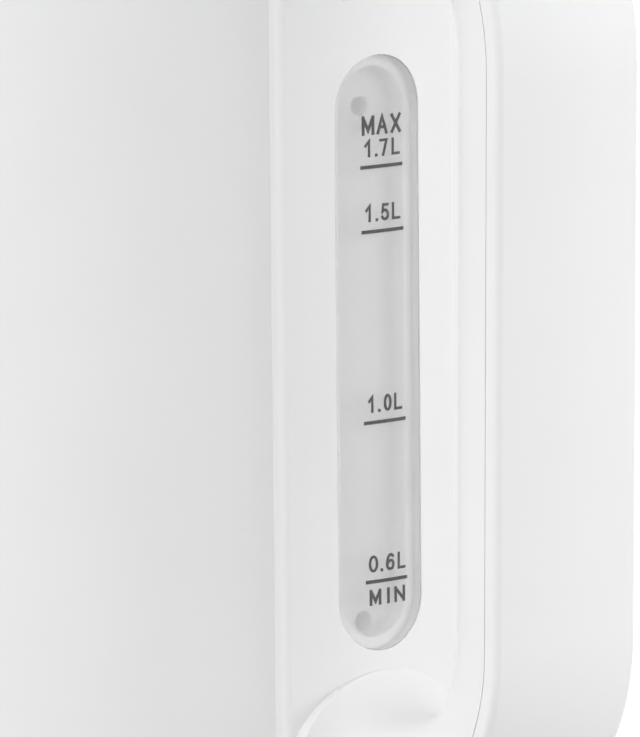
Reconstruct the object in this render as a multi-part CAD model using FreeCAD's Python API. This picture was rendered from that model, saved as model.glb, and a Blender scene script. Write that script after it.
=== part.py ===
import FreeCAD, Part
import math
import os
from FreeCAD import Matrix, Vector

# Cordless jug kettle on a round power base, in millimetres.
# The origin is on the swivel axis at table height, +Z is up, +X points to the handle.

# Clearances
fit_gap = 0.1           # between pieces that are fixed to each other
run_gap = 0.35          # between pieces that move past each other
pin_gap = 0.06          # round a hinge pin

# Power base
foot_height = 2.0       # rubber foot below the base plate
foot_radius = 6.0
foot_circle = 62.0
foot_peg_radius = 2.5
base_radius = 77.0
base_shoulder_z = 15.0  # top of the upright side wall
base_shoulder_run = 6.5
base_deck_z = 20.0
base_wall = 2.4
base_plate_thick = 2.4
base_edge_round = 2.2
base_post_radius = 4.0
base_post_circle = 52.0
outlet_radius = 3.5     # cord outlet bore
outlet_wall = 2.0
outlet_length = 13.0
connector_radius = 17.4
connector_rise = 16.0   # above the deck
connector_flange = 5.5
flange_thick = 2.2
well_radius = 4.6
groove_inner = 9.5
groove_outer = 12.6
groove_depth = 8.0
pin_contact_radius = 1.8
ring_contact_thick = 0.5

# Round connector under the jug
socket_wall = 3.2
socket_roof = 2.0
sleeve_radius = 4.2
sleeve_wall = 1.6
tongue_inner = 9.9
tongue_outer = 11.2
brush_thick = 0.35

# Jug
stand_gap = 2.0         # jug edge above the base deck
jug_height = 208.0
jug_foot_radius = 68.5
jug_rim_radius = 65.5
jug_wall = 2.7
floor_height = 25.8     # wet side of the heating plate above the jug's edge
ledge_inner = 49.0
ledge_thick = 2.8
boss_radius = 4.2
boss_circle = 57.0
boss_count = 3

# Spout
spout_base_height = 150.0   # above the jug's edge
spout_lip_height = 212.0
spout_base_radius = 10.0
spout_mouth_radius = 24.0
spout_base_centre = 56.0
spout_mouth_centre = 61.0
spout_wall = 2.4

# Water gauge
window_width = 20.4
window_height = 114.8
window_centre_height = 115.5
pane_thick = 1.8
pane_recess = 0.3       # below the panel's face
seal_lip = 2.3
pocket_depth = 3.0
gauge_hole_radius = 2.0
hole_boss_wall = 1.2
hole_boss_length = 1.6
upper_hole_drop = 10.5
lower_hole_rise = 4.8

# Rear panel and handle
panel_half_width = 21.3
panel_proud = 3.0
panel_round = 1.8
panel_low_height = 11.0
grip_reach = 121.5      # swivel axis to the parting line of the grip
liner_depth = 19.2
liner_half_width = 16.9
liner_side = 1.0        # upright flank of the inner half, next to the parting line
liner_wall = 2.6
bend_share = 0.645      # of the run from the panel to the grip, taken by the bend
lower_arm_height = 28.0     # parting line of the arm above the jug's edge
upper_arm_height = 216.9
root_widening = 4.4
root_side = 6.0         # how much longer that flank is at the panel
lower_root_rise = 7.2   # flare of the arm towards the grip side, at the panel
upper_root_rise = 16.5
parting_gap = 0.3
tongue_rise = 1.1
cover_overhang = 0.1
cover_rim = 3.5
cover_crown = 1.8       # rise of the crowned back above the rim
cover_corner = 1.6
cover_wall = 1.9
root_block = 4.0        # plug in the open end of the cover at the lid
root_roundness = 0.96   # share of the quarter circle that the flare follows
root_shares = (1.0, 0.96, 0.88, 0.76, 0.6, 0.4, 0.2, 0.0)   # stations of the flared root, panel to bend

# Heating
plate_thick = 1.0
plate_radius = 52.5
plate_seal_thick = 0.5
spreader_radius = 44.0
spreader_thick = 2.5
element_ring = 36.0
element_tube = 3.3
element_gap_deg = 50.0
terminal_radius = 1.6
terminal_length = 9.0

# Control under the plate
control_radius = 30.0
disc_radius = 7.0
disc_thick = 0.6
disc_offset = 14.0
control_screw_circle = 26.0
ear_thick = 3.4
bridge_thick = 4.0
bridge_length = 10.0
steam_radius = 3.6
steam_wall = 0.9
steam_circle = 58.4
steam_bearing_deg = 22.0
steam_top_below_rim = 11.0
steam_cup_wall = 1.2
steam_disc_radius = 5.0

# Switch
pivot_x = 58.0
pivot_height = 11.0     # above the jug's edge
lever_half_width = 9.0
lever_hub = 3.4
lever_inner = 8.5
lever_reach = 29.0      # pivot to the tip of the paddle
paddle_thick = 5.0
switch_pin_radius = 1.5
lever_travel_deg = 14.0
plunger_radius = 1.4
plunger_arm = 6.5
plunger_length = 6.0

# Underside
bottom_thick = 2.6
bottom_step = 0.6
pad_radius = 5.0
pad_circle = 42.0

# Collar and lid
collar_rise = 8.0
collar_skirt = 8.0
collar_skirt_wall = 2.2
lid_radius = 59.7
lid_gap = 0.85          # to the wall of the well
lid_crown = 5.5
lid_wall = 2.0
lid_edge_round = 1.6
ledge_reach = 4.0
lid_ledge_thick = 2.4
liner_plug_depth = 7.0
hinge_x = 50.0
hinge_drop = 4.0        # hinge axis below the collar's top
deck_drop = 2.0         # hinge deck and rear of the collar below its top
hinge_front_gap = 1.5
lid_rear_setback = 4.0
hinge_pin_radius = 1.5
hinge_pin_half = 26.0
lug_centre = 18.0
lug_width = 8.0
lug_radius = 3.0
tab_length = 9.0
tab_half_width = 13.0
tab_rise = 4.0
tab_from_edge = 4.0

# Filter
filter_width = 44.0
filter_height = 42.0
filter_border = 4.0
filter_thick = 2.2
filter_gap = 0.9        # to the jug's wall
filter_round = 5.0
mesh_thick = 0.6

# Screws
screw_radius = 1.5
screw_head_radius = 3.0
screw_head_thick = 1.8
screw_bite = 5.0

Z_AXIS = Vector(0, 0, 1)
Y_AXIS = Vector(0, 1, 0)
X_AXIS = Vector(1, 0, 0)

# Heights and radii that follow from the sizes above
jug_foot_z = base_deck_z + stand_gap
jug_rim_z = jug_foot_z + jug_height
floor_z = jug_foot_z + floor_height
plate_under_z = floor_z - plate_thick
ledge_top_z = plate_under_z - plate_seal_thick
ledge_under_z = ledge_top_z - ledge_thick
spreader_under_z = plate_under_z - spreader_thick
control_top_z = spreader_under_z - disc_thick
bottom_z = jug_foot_z + bottom_step
bottom_top_z = bottom_z + bottom_thick
control_low_z = bottom_top_z + fit_gap
deck_under_z = base_deck_z - base_wall
connector_top_z = base_deck_z + connector_rise
socket_radius = connector_radius + run_gap + socket_wall
socket_top_z = connector_top_z + run_gap + socket_roof
socket_low_z = bottom_z + run_gap
window_z = jug_foot_z + window_centre_height
collar_top_z = jug_rim_z + collar_rise
lid_ledge_z = jug_rim_z + lid_ledge_thick / 2
hinge_z = collar_top_z - hinge_drop
pivot_z = jug_foot_z + pivot_height
grip_inner_x = grip_reach - liner_depth
lower_bend = bend_share * (grip_inner_x - jug_foot_radius - panel_proud)
upper_bend = bend_share * (grip_inner_x - jug_rim_radius - panel_proud)
lower_bend_x = grip_inner_x - lower_bend
upper_bend_x = grip_inner_x - upper_bend
lower_arm_z = jug_foot_z + lower_arm_height
upper_arm_z = jug_foot_z + upper_arm_height
lower_bend_z = lower_arm_z + liner_depth + lower_bend
upper_bend_z = upper_arm_z - liner_depth - upper_bend


def jug_radius(z):
    """Outer radius of the tapered jug at a height."""
    share = (z - jug_foot_z) / jug_height
    return jug_foot_radius + share * (jug_rim_radius - jug_foot_radius)


def turned(points):
    """Solid turned about the vertical axis from (radius, height) corners."""
    corners = [Vector(r, 0, z) for r, z in points]
    face = Part.Face(Part.makePolygon(corners + corners[:1]))
    return face.revolve(Vector(), Z_AXIS, 360)


def disc(radius, low, high, x=0.0, y=0.0):
    """Upright cylinder between two heights."""
    return Part.makeCylinder(radius, high - low, Vector(x, y, low))


def ring(outer, inner, low, high):
    """Upright ring about the swivel axis."""
    return disc(outer, low, high).cut(disc(inner, low, high))


def block(x0, x1, y0, y1, z0, z1):
    """Box between two corners."""
    return Part.makeBox(x1 - x0, y1 - y0, z1 - z0, Vector(x0, y0, z0))


def cone_core(offset, low, high):
    """Everything inside the jug's taper, moved outwards by an offset."""
    return turned([(0, low), (jug_radius(low) + offset, low), (jug_radius(high) + offset, high), (0, high)])


def cone_band(inner, outer, low, high):
    """Wall between two offsets of the jug's taper."""
    return turned([
        (jug_radius(low) + inner, low),
        (jug_radius(low) + outer, low),
        (jug_radius(high) + outer, high),
        (jug_radius(high) + inner, high),
    ])


def polar(circle, bearing_deg):
    """Point on a circle about the swivel axis."""
    bearing = math.radians(bearing_deg)
    return circle * math.cos(bearing), circle * math.sin(bearing)


def bearings(count, first_deg):
    """Evenly spaced bearings, in degrees."""
    return [first_deg + 360.0 * k / count for k in range(count)]


def stadium(width, height, centre_z, x0, x1):
    """Upright round-ended bar that runs along X."""
    half = width / 2
    low = centre_z - height / 2 + half
    high = centre_z + height / 2 - half
    left_low, left_high = Vector(x0, -half, low), Vector(x0, -half, high)
    right_low, right_high = Vector(x0, half, low), Vector(x0, half, high)
    edges = [
        Part.LineSegment(left_low, left_high).toShape(),
        Part.Arc(left_high, Vector(x0, 0, high + half), right_high).toShape(),
        Part.LineSegment(right_high, right_low).toShape(),
        Part.Arc(right_low, Vector(x0, 0, low - half), left_low).toShape(),
    ]
    return Part.Face(Part.Wire(edges)).extrude(Vector(x1 - x0, 0, 0))


def round_rings(shape, radius, places):
    """Round the circular edges that lie at the given (radius, height) places."""
    chosen = []
    for edge in shape.Edges:
        if edge.Degenerated or not isinstance(edge.Curve, Part.Circle):
            continue
        at = (edge.Curve.Radius, edge.Curve.Center.z)
        if any(math.hypot(at[0] - r, at[1] - z) < fit_gap for r, z in places):
            chosen.append(edge)
    return shape.makeFillet(radius, chosen)


def screw(base, direction, grip):
    """Pan-head screw: base is under the head, direction points to the tip."""
    shank = Part.makeCylinder(screw_radius, grip, base, direction)
    head = Part.makeCylinder(screw_head_radius, screw_head_thick, base, direction * -1)
    return shank.fuse(head).removeSplitter()


def screw_hole(base, direction, depth):
    """Hole for a screw's shank."""
    return Part.makeCylinder(screw_radius + fit_gap, depth, base, direction)


def head_well(base, direction, depth):
    """Clear bore for a screw's head, from under the head backwards."""
    return Part.makeCylinder(screw_head_radius + fit_gap, depth, base, direction * -1)


# Power base

def base_cover():
    """Upper shell of the base, with the deck, three screw posts and the cord outlet."""
    run = base_radius - base_shoulder_run
    hole = connector_radius + fit_gap
    shell = turned([
        (base_radius, foot_height),
        (base_radius, base_shoulder_z),
        (run, base_deck_z),
        (hole, base_deck_z),
        (hole, deck_under_z),
        (run - base_wall / 2, deck_under_z),
        (base_radius - base_wall, base_shoulder_z - base_wall / 2),
        (base_radius - base_wall, foot_height),
    ])
    shell = round_rings(shell, base_edge_round, [(base_radius, base_shoulder_z), (run, base_deck_z)])
    plate_top = foot_height + base_plate_thick
    for bearing in bearings(3, 90):
        x, y = polar(base_post_circle, bearing)
        shell = shell.fuse(disc(base_post_radius, plate_top, deck_under_z, x, y))
        shell = shell.cut(screw_hole(Vector(x, y, plate_top), Z_AXIS, screw_bite + fit_gap))
    outlet_z = plate_top + outlet_wall + outlet_radius + fit_gap
    start = Vector(base_radius - outlet_length, 0, outlet_z)
    tube = Part.makeCylinder(outlet_radius + outlet_wall, outlet_length - base_wall / 2, start, X_AXIS)
    shell = shell.fuse(tube)
    bore = Part.makeCylinder(outlet_radius, outlet_length + base_wall, start, X_AXIS)
    return shell.cut(bore).removeSplitter()


def foot_places():
    """Places of the feet: four near the edge and one in the middle."""
    return [polar(foot_circle, bearing) for bearing in bearings(4, 45)] + [(0.0, 0.0)]


def base_plate():
    """Round plate that closes the base from below."""
    top = foot_height + base_plate_thick
    plate = disc(base_radius - base_wall - fit_gap, foot_height, top)
    for x, y in foot_places():
        plate = plate.cut(disc(foot_peg_radius, foot_height, top, x, y))
    for bearing in bearings(3, 90):
        x, y = polar(base_post_circle, bearing)
        seat = Vector(x, y, foot_height + screw_head_thick)
        plate = plate.cut(head_well(seat, Z_AXIS, screw_head_thick))
        plate = plate.cut(screw_hole(seat, Z_AXIS, base_plate_thick))
    return plate


def base_feet():
    """Rubber feet with pegs through the plate."""
    feet = []
    for x, y in foot_places():
        peg = disc(foot_peg_radius, 0, foot_height + base_plate_thick, x, y)
        feet.append(disc(foot_radius, 0, foot_height, x, y).fuse(peg).removeSplitter())
    return Part.makeCompound(feet)


def base_screws():
    """Three screws from the plate into the posts."""
    seat_z = foot_height + screw_head_thick
    grip = base_plate_thick - screw_head_thick + screw_bite
    places = [polar(base_post_circle, bearing) for bearing in bearings(3, 90)]
    return Part.makeCompound([screw(Vector(x, y, seat_z), Z_AXIS, grip) for x, y in places])


def base_connector():
    """Round plug of the base: flange under the deck, centre well and ring groove on top."""
    low = deck_under_z - flange_thick
    body = disc(connector_radius, low, connector_top_z)
    body = body.fuse(disc(connector_radius + connector_flange, low, deck_under_z)).removeSplitter()
    body = round_rings(body, base_edge_round / 2, [(connector_radius, connector_top_z)])
    well_floor = connector_top_z - connector_rise + fit_gap
    body = body.cut(disc(well_radius, well_floor, connector_top_z))
    return body.cut(ring(groove_outer, groove_inner, connector_top_z - groove_depth, connector_top_z))


def base_contacts():
    """Centre pin and ring contact of the plug."""
    well_floor = connector_top_z - connector_rise + fit_gap
    pin = disc(pin_contact_radius, well_floor, connector_top_z - ring_contact_thick)
    low = connector_top_z - groove_depth
    contact = ring(groove_outer, groove_outer - ring_contact_thick, low, connector_top_z - ring_contact_thick)
    return Part.makeCompound([pin, contact])


# Round connector that lifts with the jug and turns freely in it

def socket_ring():
    """Socket that drops over the base's plug."""
    roof_z = socket_top_z - socket_roof
    cup = disc(socket_radius, socket_low_z, socket_top_z)
    cup = cup.cut(disc(connector_radius + run_gap, socket_low_z, roof_z))
    sleeve_low = base_deck_z + connector_rise / 3
    cup = cup.fuse(ring(sleeve_radius, sleeve_radius - sleeve_wall, sleeve_low, roof_z))
    tongue_low = connector_top_z - groove_depth + 2 * run_gap
    return cup.fuse(ring(tongue_outer, tongue_inner, tongue_low, roof_z)).removeSplitter()


def socket_contacts():
    """Sprung sleeve and ring contacts of the socket."""
    roof_z = socket_top_z - socket_roof
    bore = sleeve_radius - sleeve_wall
    sleeve = ring(bore, bore - brush_thick, base_deck_z + connector_rise / 2, roof_z)
    low = connector_top_z - groove_depth / 2
    return Part.makeCompound([sleeve, ring(tongue_outer + brush_thick, tongue_outer, low, roof_z)])


# Jug

def spout_loft(offset):
    """Flaring beak of the spout, from a small circle on the wall to the wide mouth."""
    wires = []
    rows = 4
    for k in range(rows):
        share = k / (rows - 1.0)
        z = jug_foot_z + spout_base_height + share * (spout_lip_height - spout_base_height)
        swell = share ** 1.5
        radius = spout_base_radius + swell * (spout_mouth_radius - spout_base_radius) + offset
        centre = spout_base_centre + swell * (spout_mouth_centre - spout_base_centre)
        circle = Part.Circle(Vector(-centre, 0, z), Z_AXIS, radius)
        wires.append(Part.Wire(circle.toShape()))
    return Part.makeLoft(wires, True, False)


def spout():
    """Hollow beak welded over the opening in the jug's wall."""
    beak = spout_loft(0).cut(spout_loft(-spout_wall))
    return beak.cut(cone_core(fit_gap, jug_foot_z, 2 * jug_rim_z))


def gauge_bar(shrink, inner, outer):
    """Round-ended block of the gauge between two offsets of the jug's taper."""
    low = window_z - window_height / 2 - jug_wall - fit_gap
    high = window_z + window_height / 2 + jug_wall + fit_gap
    bar = stadium(window_width - 2 * shrink, window_height - 2 * shrink, window_z, 0, 2 * jug_foot_radius)
    return bar.common(cone_band(inner, outer, low, high))


def gauge_bores(radius):
    """Level cylinders through the back of the gauge at the two water holes."""
    upper = window_z + window_height / 2 - upper_hole_drop
    lower = window_z - window_height / 2 + lower_hole_rise
    starts = [Vector(jug_foot_radius / 2, 0, z) for z in (upper, lower)]
    return [Part.makeCylinder(radius, jug_foot_radius, start, X_AXIS) for start in starts]


def handle_screw_places():
    """Seats of the four screws that hold the handle, with their bearing from the axis."""
    lower_z = ledge_under_z - screw_head_radius - panel_round
    upper_z = jug_rim_z - collar_skirt - screw_head_radius - panel_round
    across = panel_half_width - screw_head_radius - panel_round
    places = []
    for z, y in ((lower_z, -across), (lower_z, across), (upper_z, -across), (upper_z, across)):
        inner = jug_radius(z) - jug_wall - fit_gap
        bearing = math.asin(y / inner)
        outward = Vector(math.cos(bearing), math.sin(bearing), 0)
        places.append((outward * inner + Z_AXIS * z, outward))
    return places


def lever_slot():
    """Opening in the jug's skirt for the switch lever."""
    half = lever_half_width + 2 * run_gap
    drop = math.sin(math.radians(lever_travel_deg)) * (jug_foot_radius - pivot_x)
    low = pivot_z - lever_hub - drop - 2 * run_gap
    return block(pivot_x, jug_foot_radius + panel_proud, -half, half, low, pivot_z + lever_hub + 2 * run_gap)


def jug():
    """Tapered body of the kettle, with the openings to the spout and the gauge."""
    body = cone_band(-jug_wall, 0, jug_foot_z, jug_rim_z)
    body = body.cut(spout_loft(-spout_wall))
    body = body.cut(gauge_bar(seal_lip, -2 * jug_wall, panel_proud))
    for seat, outward in handle_screw_places():
        body = body.cut(screw_hole(seat - outward, outward, jug_wall + panel_proud))
    return body.cut(lever_slot()).removeSplitter()


def floor_ring():
    """Ring welded into the jug that carries the heating plate, with the bosses of the bottom screws."""
    carrier = cone_core(-jug_wall - fit_gap, ledge_under_z, ledge_top_z)
    carrier = carrier.cut(disc(ledge_inner, ledge_under_z, ledge_top_z))
    for bearing in bearings(boss_count, 60):
        x, y = polar(boss_circle, bearing)
        carrier = carrier.fuse(disc(boss_radius, bottom_top_z, ledge_under_z, x, y))
        carrier = carrier.cut(screw_hole(Vector(x, y, bottom_top_z), Z_AXIS, screw_bite + fit_gap))
    x, y = polar(steam_circle, steam_bearing_deg)
    return carrier.cut(disc(steam_radius + fit_gap / 2, ledge_under_z, ledge_top_z, x, y)).removeSplitter()


def gauge_chamber():
    """Back of the gauge, welded inside the jug behind the opening; its two water holes have bosses."""
    rear = -pocket_depth - jug_wall
    back = gauge_bar(seal_lip - jug_wall, rear, -jug_wall - fit_gap)
    bosses = cone_band(rear - hole_boss_length, rear, jug_foot_z, jug_rim_z)
    for boss in gauge_bores(gauge_hole_radius + hole_boss_wall):
        back = back.fuse(bosses.common(boss))
    back = back.cut(gauge_bar(seal_lip, -pocket_depth, panel_proud))
    return back.cut(Part.makeCompound(gauge_bores(gauge_hole_radius))).removeSplitter()


def gauge_window():
    """Clear pane, a little below the panel's face."""
    return gauge_bar(fit_gap, panel_proud - pane_recess - pane_thick, panel_proud - pane_recess)


def gauge_seal():
    """Flat silicone frame between the pane and the jug."""
    frame = gauge_bar(fit_gap, fit_gap, panel_proud - pane_recess - pane_thick - fit_gap)
    return frame.cut(gauge_bar(seal_lip, 0, panel_proud))


# Handle

def placed(outline, x, z, turn_deg):
    """Section set on the parting line: its X points out of the loop, its Y along +Y.

    The turn is 0 under the lower arm, 90 on the grip and 180 on the upper arm.
    """
    turn = math.radians(turn_deg)
    out = Vector(math.sin(turn), 0, -math.cos(turn))
    along = out.cross(Y_AXIS)
    outline.Placement = FreeCAD.Placement(Matrix(
        out.x, 0, along.x, x,
        0, 1, 0, 0,
        out.z, 0, along.z, z,
        0, 0, 0, 1,
    ))
    return outline


def half_ellipse(centre, depth, half):
    """Half-round arc that opens outwards, a half circle stretched to its depth and half width."""
    stretch = Matrix()
    stretch.scale(depth, half, 1)
    stretch.move(centre, 0, 0)
    arc = Part.Arc(Y_AXIS, X_AXIS * -1, Y_AXIS * -1).toShape()
    return arc.transformGeometry(stretch)


def polyline(points):
    """Straight edges through (out, across) points."""
    corners = [Vector(out, across, 0) for out, across in points]
    return [Part.LineSegment(a, b).toShape() for a, b in zip(corners, corners[1:])]


def liner_outline(flare, rise):
    """Channel section of the handle's inner half, with the tongue that locates the cover."""
    half = liner_half_width + flare * root_widening
    depth = liner_depth + flare * rise
    top = -parting_gap / 2
    side = top - liner_side - flare * root_side
    tongue = half + cover_overhang - cover_wall - fit_gap
    hollow = half - liner_wall
    lip = [(side, half), (top, half), (top, tongue)]
    lip += [(tongue_rise, tongue), (tongue_rise, hollow), (side, hollow)]
    edges = [half_ellipse(side, depth + side, half), half_ellipse(side, depth + side - liner_wall, hollow)]
    edges += polyline(lip)
    edges += polyline([(out, -across) for out, across in lip])
    return Part.Wire(Part.__sortEdges__(edges))


def crown_edges(half, low, centre, crown, corner):
    """Crowned back of the cover with a round corner and an upright rim on each side."""
    corner_x = centre + math.sqrt((crown - corner) ** 2 - (half - corner) ** 2)
    out = Vector(corner_x - centre, half - corner, 0).normalize()
    end = Vector(centre, 0, 0) + out * crown
    middle = Vector(corner_x, half - corner, 0) + (out + Y_AXIS).normalize() * corner
    rim = Vector(corner_x, half, 0)
    foot = Vector(low, half, 0)
    edges = [Part.Arc(Vector(end.x, -end.y, 0), Vector(centre + crown, 0, 0), end).toShape()]
    for side in (1, -1):
        a, b, c, d = [Vector(point.x, side * point.y, 0) for point in (end, middle, rim, foot)]
        edges.append(Part.Arc(a, b, c).toShape())
        edges.append(Part.LineSegment(c, d).toShape())
    return edges


def cover_outline(flare, rise):
    """Thin section of the outer cover; the rise of the root is on the inner half only."""
    half = liner_half_width + flare * root_widening + cover_overhang
    inner = half - cover_wall
    low = parting_gap / 2
    crown = (half ** 2 + cover_crown ** 2) / (2 * cover_crown)
    centre = cover_rim + cover_crown - crown
    edges = crown_edges(half, low, centre, crown, cover_corner)
    edges += crown_edges(inner, low, centre, crown - cover_wall, cover_corner / 2)
    edges += polyline([(low, half), (low, inner)])
    edges += polyline([(low, -inner), (low, -half)])
    return Part.Wire(Part.__sortEdges__(edges))


def arc_drop(reach):
    """How far a unit quarter circle has left its tangent at a reach along it."""
    return 1 - math.sqrt(1 - reach ** 2)


def root_flare(share):
    """Flare of the arm, from none at the bend to whole at the panel, along most of a quarter circle."""
    return arc_drop(root_roundness * share) / arc_drop(root_roundness)


def handle_root(outline, z, turn_deg, bend_x, rise):
    """Arm of the handle from inside the panel, with a round flare towards it, to the start of a bend."""
    face_x = jug_radius(z) + panel_proud
    foot = Part.Face(placed(outline(1.0, rise), face_x, z, turn_deg))
    stub = foot.extrude(X_AXIS * -(panel_proud + jug_wall))
    wires = []
    for share in root_shares:
        x = bend_x - share * (bend_x - face_x)
        wires.append(placed(outline(root_flare(share), rise), x, z, turn_deg))
    return [stub, Part.makeLoft(wires, True, False)]


def handle_bar(outline):
    """Whole loop of the handle with a given section: two roots, two bends and the straight grip."""
    lower_end = Part.Face(placed(outline(0.0, 0.0), lower_bend_x, lower_arm_z, 0))
    grip_low = Part.Face(placed(outline(0.0, 0.0), grip_reach, lower_bend_z, 90))
    grip_high = Part.Face(placed(outline(0.0, 0.0), grip_reach, upper_bend_z, 90))
    pieces = handle_root(outline, lower_arm_z, 0, lower_bend_x, lower_root_rise)
    pieces.append(lower_end.revolve(Vector(lower_bend_x, 0, lower_bend_z), Y_AXIS * -1, 90))
    pieces.append(grip_low.extrude(Z_AXIS * (upper_bend_z - lower_bend_z)))
    pieces.append(grip_high.revolve(Vector(upper_bend_x, 0, upper_bend_z), Y_AXIS * -1, 90))
    pieces += handle_root(outline, upper_arm_z, 180, upper_bend_x, upper_root_rise)
    return pieces[0].multiFuse(pieces[1:])


def panel_top_z():
    """Top of the panel, just under the cover's parting line at the upper root."""
    return upper_arm_z - parting_gap


def outside_panel(vertex):
    """Whether a corner lies on the panel's outer face."""
    return math.hypot(vertex.X, vertex.Y) > jug_radius(vertex.Z) + panel_proud / 2


def rear_panel():
    """Raised band down the back of the jug that frames the gauge."""
    low = jug_foot_z + panel_low_height
    high = panel_top_z()
    band = cone_band(0, panel_proud, low, high)
    panel = band.common(block(0, 2 * jug_foot_radius, -panel_half_width, panel_half_width, low, high))
    outer = [edge for edge in panel.Edges if all(outside_panel(vertex) for vertex in edge.Vertexes)]
    return panel.makeFillet(panel_round, outer)


def handle_inner():
    """Panel, both roots and the inner half of the grip in one moulding."""
    bar = handle_bar(liner_outline).cut(cone_core(panel_proud / 2, jug_foot_z, 2 * jug_rim_z))
    moulding = bar.fuse(rear_panel())
    moulding = moulding.cut(gauge_bar(0, -jug_wall, 2 * panel_proud)).cut(lever_slot())
    for seat, outward in handle_screw_places():
        moulding = moulding.cut(screw_hole(seat, outward, jug_wall + panel_proud))
    face_x = jug_radius(panel_top_z()) + panel_proud
    half = panel_half_width / 2
    low = panel_top_z() - panel_proud
    high = panel_top_z() + cover_rim - cover_wall
    plug = block(face_x - panel_proud / 2, face_x + root_block, -half, half, low, high)
    return moulding.fuse(plug).removeSplitter()


def handle_cover():
    """Outer half of the grip, a thin crowned shell."""
    return handle_bar(cover_outline).cut(cone_core(panel_proud + fit_gap, jug_foot_z, 2 * jug_rim_z))


def handle_screws():
    """Four screws from inside the jug into the panel."""
    grip = jug_wall + panel_proud - 2 * fit_gap
    return Part.makeCompound([screw(seat, outward, grip) for seat, outward in handle_screw_places()])


# Heating

def heating_plate():
    """Steel disc that is the floor of the jug."""
    plate = disc(plate_radius, plate_under_z, floor_z)
    return round_rings(plate, plate_thick / 2, [(plate_radius, floor_z)])


def plate_seal():
    """Silicone ring between the plate and the jug's ledge."""
    return ring(plate_radius, ledge_inner, ledge_top_z, plate_under_z)


def control_screw_seats():
    """Under-head points of the three control screws."""
    seat_z = control_top_z - screw_bite
    return [Vector(x, y, seat_z) for x, y in (polar(control_screw_circle, b) for b in bearings(3, 90))]


def heat_spreader():
    """Aluminium disc bonded under the plate."""
    spreader = disc(spreader_radius, spreader_under_z, plate_under_z)
    for seat in control_screw_seats():
        spreader = spreader.cut(screw_hole(seat, Z_AXIS, screw_bite + disc_thick + spreader_thick / 2))
    return spreader


def element_z():
    """Height of the element's centre line."""
    return spreader_under_z - element_tube


def heating_element():
    """Sheathed tube bent to an open ring."""
    sweep = 360 - element_gap_deg
    coil = Part.makeTorus(element_ring, element_tube, Vector(0, 0, element_z()), Z_AXIS, 0, 360, sweep)
    coil.rotate(Vector(), Z_AXIS, 180 + element_gap_deg / 2)
    return coil


def element_terminals():
    """Cold pins that run straight out of the element's two ends."""
    pins = []
    for side in (1, -1):
        bearing = 180 + side * element_gap_deg / 2
        x, y = polar(element_ring, bearing)
        along = Vector(*polar(1.0, bearing - side * 90), 0)
        pins.append(Part.makeCylinder(terminal_radius, terminal_length, Vector(x, y, element_z()), along))
    return Part.makeCompound(pins)


# Control and switch

def steam_low_z():
    """Lower end of the steam tube, over its disc."""
    return control_low_z + 2 * bottom_thick + disc_thick


def control_body():
    """Control housing with the socket's recess, the fork for the lever and the steam cup."""
    body = disc(control_radius, control_low_z, control_top_z)
    body = body.cut(disc(socket_radius + run_gap, control_low_z, socket_top_z + run_gap))
    half = lever_half_width + run_gap + ear_thick
    low = control_low_z + fit_gap
    high = element_z() - element_tube - run_gap
    back = pivot_x - lever_inner - 2 * run_gap
    front = pivot_x + lever_hub
    body = body.fuse(block(control_radius - ear_thick, back, -half, half, low, high))
    for side in (-1, 1):
        inner = side * (lever_half_width + run_gap)
        body = body.fuse(block(back, front, min(inner, side * half), max(inner, side * half), low, high))
    plunger_x = pivot_x - plunger_arm
    bridge = block(back - bridge_thick, plunger_x + bridge_length / 2, -half, half, high, high + bridge_thick)
    body = body.fuse(bridge)
    body = body.cut(disc(plunger_radius + run_gap, high, high + bridge_thick, plunger_x, 0))
    x, y = polar(steam_circle, steam_bearing_deg)
    cup_radius = steam_disc_radius + steam_cup_wall
    body = body.fuse(disc(cup_radius, low, steam_low_z(), x, y))
    body = body.fuse(block(x - cup_radius, x, half - ear_thick / 2, y, low, low + bridge_thick))
    body = body.cut(disc(steam_disc_radius + fit_gap, steam_low_z() - 2 * disc_thick, steam_low_z(), x, y))
    pin = Part.makeCylinder(switch_pin_radius, 2 * half, Vector(pivot_x, -half, pivot_z), Y_AXIS)
    body = body.cut(pin)
    for seat in control_screw_seats():
        body = body.cut(screw_hole(seat, Z_AXIS, screw_bite))
        body = body.cut(head_well(seat, Z_AXIS, seat.z - control_low_z))
    return body.removeSplitter()


def control_screws():
    """Three screws from the control into the spreader."""
    grip = screw_bite + disc_thick + spreader_thick / 2 - fit_gap
    return Part.makeCompound([screw(seat, Z_AXIS, grip) for seat in control_screw_seats()])


def dry_boil_discs():
    """Two bimetal discs between the control and the spreader."""
    places = ((disc_offset, 0), (-disc_offset, 0))
    return Part.makeCompound([disc(disc_radius, control_top_z, spreader_under_z, x, y) for x, y in places])


def steam_disc():
    """Bimetal disc in the steam cup."""
    floor = steam_low_z() - 2 * disc_thick
    return disc(steam_disc_radius, floor, floor + disc_thick, *polar(steam_circle, steam_bearing_deg))


def steam_tube():
    """Upright tube that leads steam from under the lid to the control."""
    x, y = polar(steam_circle, steam_bearing_deg)
    top = jug_rim_z - steam_top_below_rim
    tube = disc(steam_radius, steam_low_z(), top, x, y)
    return tube.cut(disc(steam_radius - steam_wall, steam_low_z(), top, x, y))


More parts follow.
